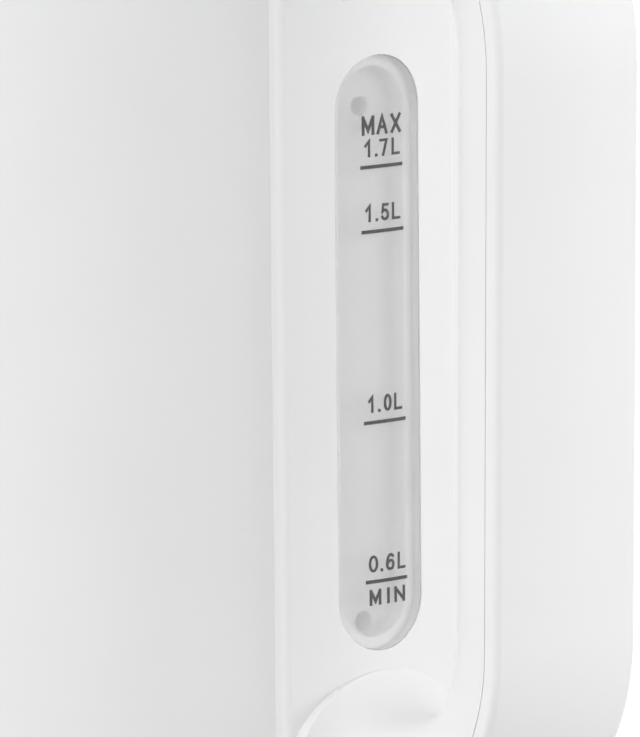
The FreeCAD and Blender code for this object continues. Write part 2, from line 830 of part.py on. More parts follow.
def switch_lever():
    """Rocking lever: fork end over the plunger, hub on its pin and the paddle outside."""
    throat = jug_foot_radius - pivot_x
    tip = pivot_x + lever_reach
    corners = [
        (pivot_x - lever_inner, pivot_z - lever_hub / 2),
        (pivot_x, pivot_z - lever_hub),
        (pivot_x + throat, pivot_z - paddle_thick / 2),
        (tip - paddle_thick / 2, pivot_z - paddle_thick),
        (tip, pivot_z - paddle_thick * 0.6),
        (tip - paddle_thick / 2, pivot_z - paddle_thick * 0.1),
        (pivot_x + throat, pivot_z + paddle_thick / 2),
        (pivot_x, pivot_z + lever_hub),
        (pivot_x - lever_inner, pivot_z + lever_hub / 2),
    ]
    points = [Vector(x, -lever_half_width, z) for x, z in corners]
    lever = Part.Face(Part.makePolygon(points + points[:1])).extrude(Y_AXIS * (2 * lever_half_width))
    across = [e for e in lever.Edges if e.BoundBox.YLength > lever_half_width]
    tips = [e for e in across if e.CenterOfMass.x > tip - paddle_thick]
    lever = lever.makeFillet(paddle_thick / 8, tips)
    bore = switch_pin_radius + pin_gap
    start = Vector(pivot_x, -lever_half_width, pivot_z)
    return lever.cut(Part.makeCylinder(bore, 2 * lever_half_width, start, Y_AXIS))


def switch_pin():
    """Steel pin through the control's fork and the lever."""
    half = lever_half_width + run_gap + ear_thick
    return Part.makeCylinder(switch_pin_radius, 2 * half, Vector(pivot_x, -half, pivot_z), Y_AXIS)


def contact_plunger():
    """Push rod that the lever lifts to close the contacts."""
    plunger_x = pivot_x - plunger_arm
    share = plunger_arm / lever_inner
    low = pivot_z + lever_hub * (1 - share / 2) + run_gap
    return disc(plunger_radius, low, low + plunger_length, plunger_x, 0)


# Underside

def bottom_cover():
    """Plate that closes the jug from below and stands on the base with three pads."""
    plate = disc(jug_radius(bottom_top_z) - jug_wall - fit_gap, bottom_z, bottom_top_z)
    plate = plate.cut(disc(socket_radius + run_gap, bottom_z, bottom_top_z))
    for bearing in bearings(boss_count, 60):
        x, y = polar(boss_circle, bearing)
        seat = Vector(x, y, bottom_z + screw_head_thick)
        plate = plate.cut(head_well(seat, Z_AXIS, screw_head_thick))
        plate = plate.cut(screw_hole(seat, Z_AXIS, bottom_thick))
        pad = disc(pad_radius, base_deck_z + run_gap, bottom_z, *polar(pad_circle, bearing))
        plate = plate.fuse(pad)
    return plate.removeSplitter()


def bottom_screws():
    """Three screws from the bottom cover into the jug's bosses."""
    seat_z = bottom_z + screw_head_thick
    grip = bottom_thick - screw_head_thick + screw_bite
    places = [polar(boss_circle, bearing) for bearing in bearings(boss_count, 60)]
    return Part.makeCompound([screw(Vector(x, y, seat_z), Z_AXIS, grip) for x, y in places])


# Collar and lid

def lid_well():
    """Radius of the collar's well round the lid."""
    return lid_radius + lid_gap


def lid_rear_x():
    """Straight rear edge of the lid."""
    return hinge_x - lid_rear_setback


def lug_blocks(extra, high, behind):
    """Two round-ended blocks on the hinge axis: the lid's lugs, or with some extra their slots."""
    blocks = []
    radius = lug_radius + 2 * extra
    width = lug_width + 2 * extra
    front = lid_rear_x() - lid_wall / 2
    for side in (-1, 1):
        y0 = side * lug_centre - width / 2
        eye = Part.makeCylinder(radius, width, Vector(hinge_x, y0, hinge_z), Y_AXIS)
        blocks.append(eye.fuse(block(front, hinge_x + behind, y0, y0 + width, hinge_z - radius, high)))
    return blocks[0].fuse(blocks[1]).removeSplitter()


def hinge_bore(radius, half):
    """Round bar along the hinge axis."""
    return Part.makeCylinder(radius, 2 * half, Vector(hinge_x, -half, hinge_z), Y_AXIS)


def rim_collar():
    """Ring on the jug's rim with the lid's well and ledge and the hinge deck."""
    skirt = jug_rim_radius - jug_wall - 2 * fit_gap
    inner = skirt - collar_skirt_wall
    outer = jug_radius(collar_top_z) - fit_gap
    ledge_low = lid_ledge_z - lid_ledge_thick
    collar = turned([
        (inner, jug_rim_z - collar_skirt),
        (skirt, jug_rim_z - collar_skirt),
        (skirt, jug_rim_z),
        (outer, jug_rim_z),
        (outer, collar_top_z),
        (lid_well(), collar_top_z),
        (lid_well(), lid_ledge_z),
        (lid_radius - ledge_reach, lid_ledge_z),
        (lid_radius - ledge_reach, ledge_low),
        (inner, ledge_low),
    ])
    collar = round_rings(collar, lid_edge_round, [(outer, collar_top_z)])
    rear = lid_slab(lid_rear_x() + hinge_front_gap, 2 * lid_radius)
    deck = disc(lid_well() + fit_gap, ledge_low, collar_top_z).common(rear)
    deck_z = collar_top_z - deck_drop
    step_x = lid_rear_x() - 2 * lid_rear_setback
    step = block(step_x, 2 * lid_radius, -lid_radius, lid_radius, deck_z, collar_top_z)
    collar = collar.fuse(deck).cut(step)
    collar = collar.cut(lug_blocks(run_gap, collar_top_z, lug_radius + 2 * run_gap))
    return collar.cut(hinge_bore(hinge_pin_radius, hinge_pin_half)).removeSplitter()


def lid_low_z():
    """Lower edge of the lid's cover, just above the collar's ledge."""
    return lid_ledge_z + 2 * run_gap


def lid_edge_z():
    """Height at which the lid's dome starts."""
    return collar_top_z + fit_gap


def dome_drop(radius):
    """How far the lid's dome has fallen at a radius."""
    sphere = (lid_radius ** 2 + lid_crown ** 2) / (2 * lid_crown)
    return sphere - math.sqrt(sphere ** 2 - radius ** 2)


def dome_solid(inset):
    """Filled lid below its dome, shrunk by an inset."""
    edge = lid_radius - inset
    top = lid_edge_z() + lid_crown - inset
    corner = Vector(edge, 0, top - dome_drop(edge))
    peak = Vector(0, 0, top)
    middle = Vector(edge / 2, 0, top - dome_drop(edge / 2))
    low_edge, low_axis = Vector(edge, 0, lid_low_z()), Vector(0, 0, lid_low_z())
    edges = [
        Part.LineSegment(low_axis, low_edge).toShape(),
        Part.LineSegment(low_edge, corner).toShape(),
        Part.Arc(corner, middle, peak).toShape(),
        Part.LineSegment(peak, low_axis).toShape(),
    ]
    dome = Part.Face(Part.Wire(edges)).revolve(Vector(), Z_AXIS, 360)
    return round_rings(dome, lid_edge_round, [(edge, corner.z)])


def lid_slab(x0, x1):
    """Slab across the lid between two distances along X."""
    return block(x0, x1, -2 * lid_radius, 2 * lid_radius, jug_foot_z, 2 * collar_top_z)


def lid_posts():
    """Places of the three screw posts inside the lid."""
    return [polar(lid_radius / 2, bearing) for bearing in bearings(3, 60)]


def plug_low_z():
    """Underside of the lid's inner plug."""
    return lid_low_z() - liner_plug_depth


def lid_cover():
    """Domed upper shell of the lid with its rear wall, hinge lugs, finger tab and screw posts."""
    solid = dome_solid(0)
    shell = solid.cut(dome_solid(lid_wall))
    for x, y in lid_posts():
        top = lid_edge_z() + lid_crown - dome_drop(lid_radius / 2) - lid_wall / 2
        shell = shell.fuse(disc(screw_head_radius, plug_low_z() + lid_wall, top, x, y))
        shell = shell.cut(screw_hole(Vector(x, y, plug_low_z()), Z_AXIS, lid_wall + screw_bite + fit_gap))
    shell = shell.fuse(solid.common(lid_slab(lid_rear_x() - lid_wall, lid_rear_x())))
    shell = shell.cut(lid_slab(lid_rear_x(), 2 * lid_radius))
    shell = shell.fuse(finger_tab()).fuse(lug_blocks(0, hinge_z + lug_radius, 0))
    return shell.cut(hinge_bore(hinge_pin_radius + pin_gap, hinge_pin_half)).removeSplitter()


def finger_tab():
    """Raised grip near the front of the lid."""
    front = -(lid_radius - tab_from_edge)
    back = front + tab_length
    low = lid_edge_z() + lid_crown - dome_drop(front) - lid_wall / 2
    corners = [(front, low), (front, low + tab_rise), (front + tab_length / 2, low + tab_rise), (back, low)]
    points = [Vector(x, -tab_half_width, z) for x, z in corners]
    tab = Part.Face(Part.makePolygon(points + points[:1])).extrude(Y_AXIS * (2 * tab_half_width))
    upper = [e for e in tab.Edges if e.BoundBox.ZMax > low + tab_rise - fit_gap]
    return tab.makeFillet(tab_rise / 4, upper)


def lid_liner():
    """Inner plug of the lid with a flange that carries the seal."""
    low = lid_low_z()
    plug = plug_radius()
    flange = lid_radius - lid_wall - fit_gap
    wall = lid_wall
    outline = [(0, plug_low_z()), (plug, plug_low_z()), (plug, low), (flange, low), (flange, low + wall)]
    solid = turned(outline + [(0, low + wall)])
    hollow = disc(plug - wall, plug_low_z() + wall, low + wall)
    rear = lid_rear_x() - lid_wall - fit_gap
    liner = solid.cut(hollow).fuse(solid.common(lid_slab(rear - wall, rear)))
    liner = liner.cut(lid_slab(rear, 2 * lid_radius))
    for x, y in lid_posts():
        liner = liner.cut(screw_hole(Vector(x, y, plug_low_z()), Z_AXIS, wall))
    return liner.removeSplitter()


def plug_radius():
    """Outer radius of the lid's inner plug, inside its seal."""
    return lid_radius - ledge_reach - run_gap - lid_wall / 2


def lid_seal():
    """Silicone ring round the plug, open at the hinge."""
    seal = ring(lid_radius - ledge_reach - run_gap, plug_radius(), lid_low_z() - lid_wall, lid_low_z())
    return seal.cut(lid_slab(lid_rear_x() - lid_wall, 2 * lid_radius))


def lid_screws():
    """Three screws from the plug into the lid's posts."""
    grip = lid_wall + screw_bite
    return Part.makeCompound([screw(Vector(x, y, plug_low_z()), Z_AXIS, grip) for x, y in lid_posts()])


def lid_hinge_pin():
    """Steel pin through the deck and the lid's lugs."""
    return hinge_bore(hinge_pin_radius, hinge_pin_half)


# Filter

def filter_slab(inset, inner, outer):
    """Curved rectangle inside the jug's wall at the spout."""
    high = jug_rim_z - collar_skirt - 2 * fit_gap - inset
    low = high - filter_height + 2 * inset
    half = filter_width / 2 - inset
    slab = block(-2 * jug_foot_radius, 0, -half, half, low, high)
    corners = [e for e in slab.Edges if e.BoundBox.XLength > jug_foot_radius]
    slab = slab.makeFillet(filter_round - inset / 2, corners)
    return slab.common(cone_band(inner - jug_wall, outer - jug_wall, low, high))


def filter_mesh():
    """Fine mesh sheet, clamped in the frame."""
    middle = -filter_gap - filter_thick / 2
    return filter_slab(filter_border / 2, middle - mesh_thick / 2, middle + mesh_thick / 2)


def filter_frame():
    """Frame of the removable filter, close behind the spout's opening."""
    frame = filter_slab(0, -filter_gap - filter_thick, -filter_gap)
    frame = frame.cut(filter_slab(filter_border, -2 * filter_thick, filter_thick))
    return frame.cut(filter_mesh())


SUB_PARTS = [
    base_cover,
    base_plate,
    base_feet,
    base_screws,
    base_connector,
    base_contacts,
    socket_ring,
    socket_contacts,
    jug,
    spout,
    floor_ring,
    gauge_chamber,
    gauge_window,
    gauge_seal,
    handle_inner,
    handle_cover,
    handle_screws,
    heating_plate,
    plate_seal,
    heat_spreader,
    heating_element,
    element_terminals,
    control_body,
    control_screws,
    dry_boil_discs,
    steam_disc,
    steam_tube,
    switch_lever,
    switch_pin,
    contact_plunger,
    bottom_cover,
    bottom_screws,
    rim_collar,
    lid_cover,
    lid_liner,
    lid_seal,
    lid_screws,
    lid_hinge_pin,
    filter_frame,
    filter_mesh,
]

os.makedirs("parts", exist_ok=True)
for make in SUB_PARTS:
    make().exportStep("parts/" + make.__name__ + ".step")
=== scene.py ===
import math
from functools import partial

import bmesh
import bpy
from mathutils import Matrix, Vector


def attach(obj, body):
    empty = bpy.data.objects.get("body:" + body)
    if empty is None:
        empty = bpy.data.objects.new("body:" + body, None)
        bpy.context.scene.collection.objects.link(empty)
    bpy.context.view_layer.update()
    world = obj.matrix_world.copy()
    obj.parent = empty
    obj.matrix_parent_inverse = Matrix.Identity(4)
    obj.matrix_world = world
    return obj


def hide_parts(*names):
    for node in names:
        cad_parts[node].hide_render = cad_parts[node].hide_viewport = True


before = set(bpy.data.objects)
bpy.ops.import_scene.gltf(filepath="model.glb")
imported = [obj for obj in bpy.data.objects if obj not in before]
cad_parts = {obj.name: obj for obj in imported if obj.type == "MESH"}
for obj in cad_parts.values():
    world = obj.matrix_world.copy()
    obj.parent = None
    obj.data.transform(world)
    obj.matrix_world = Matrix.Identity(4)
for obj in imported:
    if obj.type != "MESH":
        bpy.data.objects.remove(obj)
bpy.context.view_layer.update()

# Studio
# A large pale floor in a white tent that glows unevenly: strongest low on the right and high on the left.
# The camera stands far off with a long lens, near the height of the grip.
eye_way = Vector((0.7723, -0.6143, 0.1616))
aim = Vector((0.06369, -0.00992, 0.1349))
eye_distance = 1.567
camera_data = bpy.data.cameras.new("camera")
camera_data.lens = 402.0
camera_data.sensor_width = 36.0
camera = bpy.data.objects.new("camera", camera_data)
camera.location = aim + eye_way * eye_distance
camera.rotation_euler = (-eye_way).to_track_quat("-Z", "Y").to_euler()
bpy.context.scene.collection.objects.link(camera)
bpy.context.scene.camera = camera
bpy.context.scene.view_settings.view_transform = "Standard"


def seen_ray(tree):
    """1 for rays that show a surface in the picture, in a reflection or through glass."""
    path = tree.nodes.new("ShaderNodeLightPath")
    first = tree.nodes.new("ShaderNodeMath")
    first.operation = "MAXIMUM"
    both = tree.nodes.new("ShaderNodeMath")
    both.operation = "MAXIMUM"
    tree.links.new(path.outputs["Is Camera Ray"], first.inputs[0])
    tree.links.new(path.outputs["Is Glossy Ray"], first.inputs[1])
    tree.links.new(first.outputs[0], both.inputs[0])
    tree.links.new(path.outputs["Is Transmission Ray"], both.inputs[1])
    return both.outputs[0]


tent_turn = math.radians(38.5)
tent = bpy.data.worlds.new("tent")
tent.use_nodes = True
bpy.context.scene.world = tent
sky = tent.node_tree
way = sky.nodes.new("ShaderNodeTexCoord")
turned_way = sky.nodes.new("ShaderNodeMapping")
turned_way.inputs["Rotation"].default_value = (0.0, 0.0, tent_turn)
around = sky.nodes.new("ShaderNodeTexGradient")
around.gradient_type = "RADIAL"
height = sky.nodes.new("ShaderNodeSeparateXYZ")
sky.links.new(way.outputs["Generated"], turned_way.inputs["Vector"])
sky.links.new(turned_way.outputs["Vector"], around.inputs["Vector"])
sky.links.new(way.outputs["Generated"], height.inputs[0])


def tent_band(levels):
    """Light of one band of the tent, from its level at each eighth of a turn."""
    brightest = max(levels)
    ramp = sky.nodes.new("ShaderNodeValToRGB")
    stops = ramp.color_ramp.elements
    for eighth, level in enumerate(levels + levels[:1]):
        if eighth == 0:
            stop = stops[0]
        elif eighth == 8:
            stop = stops[-1]
        else:
            stop = stops.new(eighth / 8)
        stop.color = (level / brightest, level / brightest, level / brightest, 1.0)
    band = sky.nodes.new("ShaderNodeBackground")
    band.inputs["Strength"].default_value = brightest
    sky.links.new(around.outputs["Fac"], ramp.inputs["Fac"])
    sky.links.new(ramp.outputs["Color"], band.inputs["Color"])
    return band.outputs[0]


def stacked(low, high, start, end):
    """One band of light over another, blended between two heights of the direction."""
    fade = sky.nodes.new("ShaderNodeMapRange")
    fade.interpolation_type = "SMOOTHSTEP"
    fade.inputs["From Min"].default_value = start
    fade.inputs["From Max"].default_value = end
    blend = sky.nodes.new("ShaderNodeMixShader")
    sky.links.new(height.outputs["Z"], fade.inputs["Value"])
    sky.links.new(fade.outputs["Result"], blend.inputs["Fac"])
    sky.links.new(low, blend.inputs[1])
    sky.links.new(high, blend.inputs[2])
    return blend.outputs[0]


# Levels go round from behind the object by its left side, the camera and its right side.
lower_levels = [2.83, 2.07, 0.1, 0.1, 0.1, 1.63, 7.51, 1.44]
upper_levels = [1.29, 1.2, 4.0, 3.7, 2.17, 0.1, 0.1, 0.1]
roof_level = 0.47
wall_blend = (0.15, 0.45)
roof_blend = (0.55, 0.85)
walls = stacked(tent_band(lower_levels), tent_band(upper_levels), *wall_blend)
roof_light = sky.nodes.new("ShaderNodeBackground")
roof_light.inputs["Color"].default_value = (1.0, 1.0, 1.0, 1.0)
roof_light.inputs["Strength"].default_value = roof_level
tent_light = stacked(walls, roof_light.outputs[0], *roof_blend)
shown = sky.nodes["Background"]
shown.inputs["Color"].default_value = (1.0, 1.0, 1.0, 1.0)
shown.inputs["Strength"].default_value = 1.0
mix = sky.nodes.new("ShaderNodeMixShader")
sky.links.new(seen_ray(sky), mix.inputs["Fac"])
sky.links.new(tent_light, mix.inputs[1])
sky.links.new(shown.outputs[0], mix.inputs[2])
sky.links.new(mix.outputs[0], sky.nodes["World Output"].inputs["Surface"])

reach = 9.0
floor_grey = 0.55
floor_glow = 0.5
floor_mesh = bpy.data.meshes.new("floor")
floor_mesh.from_pydata(
    [(-reach, -reach, 0), (reach, -reach, 0), (reach, reach, 0), (-reach, reach, 0)], [], [(0, 1, 2, 3)])
floor = bpy.data.objects.new("floor", floor_mesh)
bpy.context.scene.collection.objects.link(floor)
pale = bpy.data.materials.new("pale_floor")
pale.use_nodes = True
paint = pale.node_tree.nodes["Principled BSDF"]
paint.inputs["Base Color"].default_value = (floor_grey, floor_grey, floor_grey, 1.0)
paint.inputs["Roughness"].default_value = 0.9
paint.inputs["Specular IOR Level"].default_value = 0.1
paint.inputs["Emission Color"].default_value = (1.0, 1.0, 1.0, 1.0)
lift = pale.node_tree.nodes.new("ShaderNodeMath")
lift.operation = "MULTIPLY"
lift.inputs[1].default_value = floor_glow
pale.node_tree.links.new(seen_ray(pale.node_tree), lift.inputs[0])
pale.node_tree.links.new(lift.outputs[0], paint.inputs["Emission Strength"])
floor_mesh.materials.append(pale)

# Base feet
# Five round feet of soft grey rubber, each moulded with a peg that is pulled through the base plate.
# The rubber is matt, with a fine dusty grain.
# Most of a noise pattern lies between these two values.
noise_low, noise_high = 0.3, 0.7


def finish(name, metallic=0.0, specular=0.5, alpha=1.0):
    """A new node material."""
    material = bpy.data.materials.new(name)
    material.use_nodes = True
    shader = material.node_tree.nodes["Principled BSDF"]
    shader.inputs["Metallic"].default_value = metallic
    shader.inputs["Specular IOR Level"].default_value = specular
    shader.inputs["Alpha"].default_value = alpha
    return material


def grain(material, scale, detail=3.0, stretch=(1.0, 1.0, 1.0)):
    """Noise over the piece, scale in grains per metre, drawn out along an axis by stretch."""
    tree = material.node_tree
    place = tree.nodes.new("ShaderNodeTexCoord")
    draw = tree.nodes.new("ShaderNodeMapping")
    draw.inputs["Scale"].default_value = stretch
    noise = tree.nodes.new("ShaderNodeTexNoise")
    noise.inputs["Scale"].default_value = scale
    noise.inputs["Detail"].default_value = detail
    tree.links.new(place.outputs["Object"], draw.inputs["Vector"])
    tree.links.new(draw.outputs["Vector"], noise.inputs["Vector"])
    return noise.outputs["Fac"]


def tint(material, pattern, dark, light):
    """Colour of the surface, from dark to light as the pattern goes."""
    tree = material.node_tree
    ramp = tree.nodes.new("ShaderNodeValToRGB")
    ramp.color_ramp.elements[0].position = noise_low
    ramp.color_ramp.elements[0].color = (*dark, 1.0)
    ramp.color_ramp.elements[1].position = noise_high
    ramp.color_ramp.elements[1].color = (*light, 1.0)
    tree.links.new(pattern, ramp.inputs["Fac"])
    tree.links.new(ramp.outputs["Color"], tree.nodes["Principled BSDF"].inputs["Base Color"])


def polish(material, pattern, low, high):
    """Roughness of the surface, from low to high as the pattern goes."""
    tree = material.node_tree
    span = tree.nodes.new("ShaderNodeMapRange")
    span.inputs["From Min"].default_value = noise_low
    span.inputs["From Max"].default_value = noise_high
    span.inputs["To Min"].default_value = low
    span.inputs["To Max"].default_value = high
    tree.links.new(pattern, span.inputs["Value"])
    tree.links.new(span.outputs["Result"], tree.nodes["Principled BSDF"].inputs["Roughness"])


def relief(material, pattern, depth, strength):
    """Raises the surface by the pattern, depth in metres."""
    tree = material.node_tree
    bump = tree.nodes.new("ShaderNodeBump")
    bump.inputs["Distance"].default_value = depth
    bump.inputs["Strength"].default_value = strength
    tree.links.new(pattern, bump.inputs["Height"])
    tree.links.new(bump.outputs["Normal"], tree.nodes["Principled BSDF"].inputs["Normal"])


def dress(material, *nodes):
    """Gives solids of the frame this finish."""
    for node in nodes:
        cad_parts[node].material_slots[0].material = material


foot_rubber = finish("foot_rubber", specular=0.3)
tint(foot_rubber, grain(foot_rubber, 900), (0.035, 0.035, 0.036), (0.055, 0.055, 0.056))
polish(foot_rubber, grain(foot_rubber, 1500), 0.7, 0.85)
relief(foot_rubber, grain(foot_rubber, 5000), 0.00005, 0.3)
dress(foot_rubber, "base_feet")

# Base plate
# Flat underside of the power base, moulded in light grey plastic and spark-eroded matt.
# Three screws hold it to posts under the base cover.
grey_plastic = finish("grey_plastic")
tint(grey_plastic, grain(grey_plastic, 60), (0.40, 0.40, 0.41), (0.44, 0.44, 0.45))
polish(grey_plastic, grain(grey_plastic, 700), 0.48, 0.62)
relief(grey_plastic, grain(grey_plastic, 3500), 0.00004, 0.35)
dress(grey_plastic, "base_plate")

# Base cover
# Low round housing of the power base, moulded in the same satin white plastic as the jug.
# The finish is even, with a very fine eroded texture that takes the sharpness off reflections.
white_plastic = finish("white_plastic", specular=0.45)
tint(white_plastic, grain(white_plastic, 25), (0.80, 0.80, 0.803), (0.82, 0.82, 0.822))
polish(white_plastic, grain(white_plastic, 400), 0.36, 0.46)
relief(white_plastic, grain(white_plastic, 2600, 2.0), 0.00003, 0.12)
dress(white_plastic, "base_cover")

# Base screws
# Three zinc-plated pan-head screws with a cross recess, driven up through the base plate.
# Every screw of the kettle is the same kind; only the length of the shank differs.
zinc_steel = finish("zinc_steel", metallic=1.0)
tint(zinc_steel, grain(zinc_steel, 700), (0.50, 0.51, 0.53), (0.62, 0.63, 0.64))
polish(zinc_steel, grain(zinc_steel, 1600), 0.22, 0.42)


def feed(tree, node, parts):
    """Puts sockets or numbers into the first inputs of a node."""
    for slot, part in zip(node.inputs, parts):
        if isinstance(part, float):
            slot.default_value = part
        else:
            tree.links.new(part, slot)


def vector_of(tree, *parts):
    """A vector socket from three sockets or numbers."""
    node = tree.nodes.new("ShaderNodeCombineXYZ")
    feed(tree, node, parts)
    return node.outputs[0]


def reckon(tree, operation, one, two=0.0):
    """The outcome of one operation on sockets or numbers."""
    node = tree.nodes.new("ShaderNodeMath")
    node.operation = operation
    feed(tree, node, (one, two))
    return node.outputs[0]


head_sides, shank_sides = 32, 20
head_foot_share, head_top_share = 0.97, 0.74


def screw_tree(material):
    """Geometry nodes: a pan-head screw on each point.

    Its tip lies along the point's aim and its shank is as long as the point's grip.
    """
    tree = bpy.data.node_groups.new("pan_head_screws", "GeometryNodeTree")
    face = tree.interface
    face.new_socket("Seats", in_out="INPUT", socket_type="NodeSocketGeometry")
    for label, size in (("Head Radius", 0.003), ("Head Height", 0.0018), ("Shank Radius", 0.0015),
                        ("Recess Width", 0.0008), ("Recess Length", 0.0036), ("Recess Depth", 0.0011)):
        face.new_socket(label, in_out="INPUT", socket_type="NodeSocketFloat").default_value = size
    face.new_socket("Screws", in_out="OUTPUT", socket_type="NodeSocketGeometry")
    make, join_up = tree.nodes.new, tree.links.new
    inlet, outlet = make("NodeGroupInput"), make("NodeGroupOutput")
    lay, times = partial(vector_of, tree), partial(reckon, tree, "MULTIPLY")

    def moved(mesh, offset):
        """A mesh shifted by a vector."""
        node = make("GeometryNodeTransform")
        join_up(mesh, node.inputs["Geometry"])
        join_up(offset, node.inputs["Translation"])
        return node.outputs[0]

    def noted(label, kind):
        """A value that each seat carries."""
        node = make("GeometryNodeInputNamedAttribute")
        node.data_type = kind
        node.inputs["Name"].default_value = label
        return next(socket for socket in node.outputs if socket.enabled and socket.name == "Attribute")

    head = make("GeometryNodeMeshCone")
    head.inputs["Vertices"].default_value = head_sides
    head.inputs["Side Segments"].default_value = 1
    join_up(times(inlet.outputs["Head Radius"], head_foot_share), head.inputs["Radius Bottom"])
    join_up(times(inlet.outputs["Head Radius"], head_top_share), head.inputs["Radius Top"])
    join_up(inlet.outputs["Head Height"], head.inputs["Depth"])
    cutters = []
    for turned in (False, True):
        bar = make("GeometryNodeMeshCube")
        wide, long = inlet.outputs["Recess Width"], inlet.outputs["Recess Length"]
        deep = times(inlet.outputs["Recess Depth"], 2.0)
        join_up(lay(long, wide, deep) if turned else lay(wide, long, deep), bar.inputs["Size"])
        cutters.append(moved(bar.outputs["Mesh"], lay(0.0, 0.0, inlet.outputs["Head Height"])))
    recess = make("GeometryNodeMeshBoolean")
    recess.operation = "DIFFERENCE"
    join_up(head.outputs["Mesh"], recess.inputs["Mesh 1"])
    for cutter in cutters:
        join_up(cutter, recess.inputs["Mesh 2"])
    flip = make("GeometryNodeTransform")
    flip.inputs["Rotation"].default_value = (math.pi, 0.0, 0.0)
    join_up(recess.outputs["Mesh"], flip.inputs["Geometry"])
    shank = make("GeometryNodeMeshCylinder")
    shank.inputs["Vertices"].default_value = shank_sides
    join_up(inlet.outputs["Shank Radius"], shank.inputs["Radius"])
    shank.inputs["Depth"].default_value = 1.0
    raised = moved(shank.outputs["Mesh"], lay(0.0, 0.0, 0.5))
    turn = make("FunctionNodeAlignRotationToVector")
    turn.axis = "Z"
    join_up(noted("aim", "FLOAT_VECTOR"), turn.inputs["Vector"])
    both = make("GeometryNodeJoinGeometry")
    for mesh, size in ((flip.outputs[0], None), (raised, lay(1.0, 1.0, noted("grip", "FLOAT")))):
        put = make("GeometryNodeInstanceOnPoints")
        join_up(inlet.outputs["Seats"], put.inputs["Points"])
        join_up(mesh, put.inputs["Instance"])
        join_up(turn.outputs[0], put.inputs["Rotation"])
        if size is not None:
            join_up(size, put.inputs["Scale"])
        join_up(put.outputs["Instances"], both.inputs[0])
    real = make("GeometryNodeRealizeInstances")
    coat = make("GeometryNodeSetMaterial")
    coat.inputs["Material"].default_value = material
    join_up(both.outputs[0], real.inputs[0])
    join_up(real.outputs[0], coat.inputs["Geometry"])
    join_up(coat.outputs[0], outlet.inputs["Screws"])
    return tree


def grown(name, source, tree):
    """Runs a geometry tree on a source mesh and keeps the result as a plain piece."""
    seed = bpy.data.objects.new(name + "_seed", source)
    bpy.context.scene.collection.objects.link(seed)
    modifier = seed.modifiers.new("grow", "NODES")
    modifier.node_group = tree
    bpy.context.view_layer.update()
    mesh = bpy.data.meshes.new_from_object(seed.evaluated_get(bpy.context.evaluated_depsgraph_get()))
    bpy.data.objects.remove(seed)
    mesh.name = name
    piece = bpy.data.objects.new(name, mesh)
    bpy.context.scene.collection.objects.link(piece)
    return piece


def screw_seats(name, seats):
    """Points under the screw heads; each seat is a place in millimetres, an aim and a grip in millimetres."""
    mesh = bpy.data.meshes.new(name)
    mesh.from_pydata([Vector(place) / 1000 for place, way_in, grip in seats], [], [])
    mesh.attributes.new("aim", "FLOAT_VECTOR", "POINT")
    mesh.attributes.new("grip", "FLOAT", "POINT")
    for index, (place, way_in, grip) in enumerate(seats):
        mesh.attributes["aim"].data[index].vector = way_in
        mesh.attributes["grip"].data[index].value = grip / 1000
    return mesh


up = (0.0, 0.0, 1.0)


def seat_ring(radius, level, grip, bearings):
    """Seats of upright screws on a circle."""
    turns = [math.radians(bearing) for bearing in bearings]
    return [((radius * math.cos(turn), radius * math.sin(turn), level), up, grip) for turn in turns]


pan_head_screws = screw_tree(zinc_steel)
base_seats = seat_ring(52.0, 3.8, 5.6, (90, 210, 330))
base_screw_set = grown("base_screw_set", screw_seats("base_seats", base_seats), pan_head_screws)
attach(base_screw_set, "power_base")
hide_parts("base_screws")

# Base connector
# Round centre plug of heat-proof black plastic that stands up through the base cover's deck.
# Its flange is clamped under the deck; a centre well and a ring groove on top hold the contacts.
black_plastic = finish("black_plastic")
tint(black_plastic, grain(black_plastic, 120), (0.018, 0.018, 0.019), (0.028, 0.028, 0.029))
polish(black_plastic, grain(black_plastic, 900), 0.38, 0.55)
relief(black_plastic, grain(black_plastic, 4000), 0.00004, 0.25)
dress(black_plastic, "base_connector")

# Base contacts
# Centre pin and ring of bare brass, pressed into the well and the groove of the connector.
# The metal is drawn, and a little darker where it has tarnished.
contact_brass = finish("contact_brass", metallic=1.0)
tint(contact_brass, grain(contact_brass, 260), (0.52, 0.37, 0.14), (0.70, 0.53, 0.24))
polish(contact_brass, grain(contact_brass, 1200, stretch=(1.0, 1.0, 0.1)), 0.24, 0.4)
dress(contact_brass, "base_contacts")

# Round connector
# Socket of black plastic under the jug, which drops over the plug and lets the jug turn all the way round.
# Its own spring contacts are brass, and it is held between the bottom cover and the control.
dress(black_plastic, "socket_ring")
dress(contact_brass, "socket_contacts")

# Jug and spout
# One tapered white body, with the beak welded over the opening in its wall and the floor ring welded inside.
# All are moulded in the same satin plastic as the base.
dress(white_plastic, "jug", "spout", "floor_ring")

# Heating plate
# Stainless steel disc that is the floor of the jug, spun and brushed in rings about its centre.
# It is clamped on a silicone ring against the jug's ledge.
plate_steel = finish("plate_steel", metallic=1.0)
turning = plate_steel.node_tree.nodes.new("ShaderNodeTexWave")
turning.wave_type = "RINGS"
turning.rings_direction = "Z"
turning.inputs["Scale"].default_value = 260.0
turning.inputs["Distortion"].default_value = 2.5
turning.inputs["Detail"].default_value = 3.0
centre = plate_steel.node_tree.nodes.new("ShaderNodeTexCoord")
plate_steel.node_tree.links.new(centre.outputs["Object"], turning.inputs["Vector"])
tint(plate_steel, turning.outputs["Fac"], (0.50, 0.50, 0.51), (0.60, 0.60, 0.61))
polish(plate_steel, grain(plate_steel, 500), 0.2, 0.32)
relief(plate_steel, turning.outputs["Fac"], 0.00002, 0.2)
dress(plate_steel, "heating_plate")

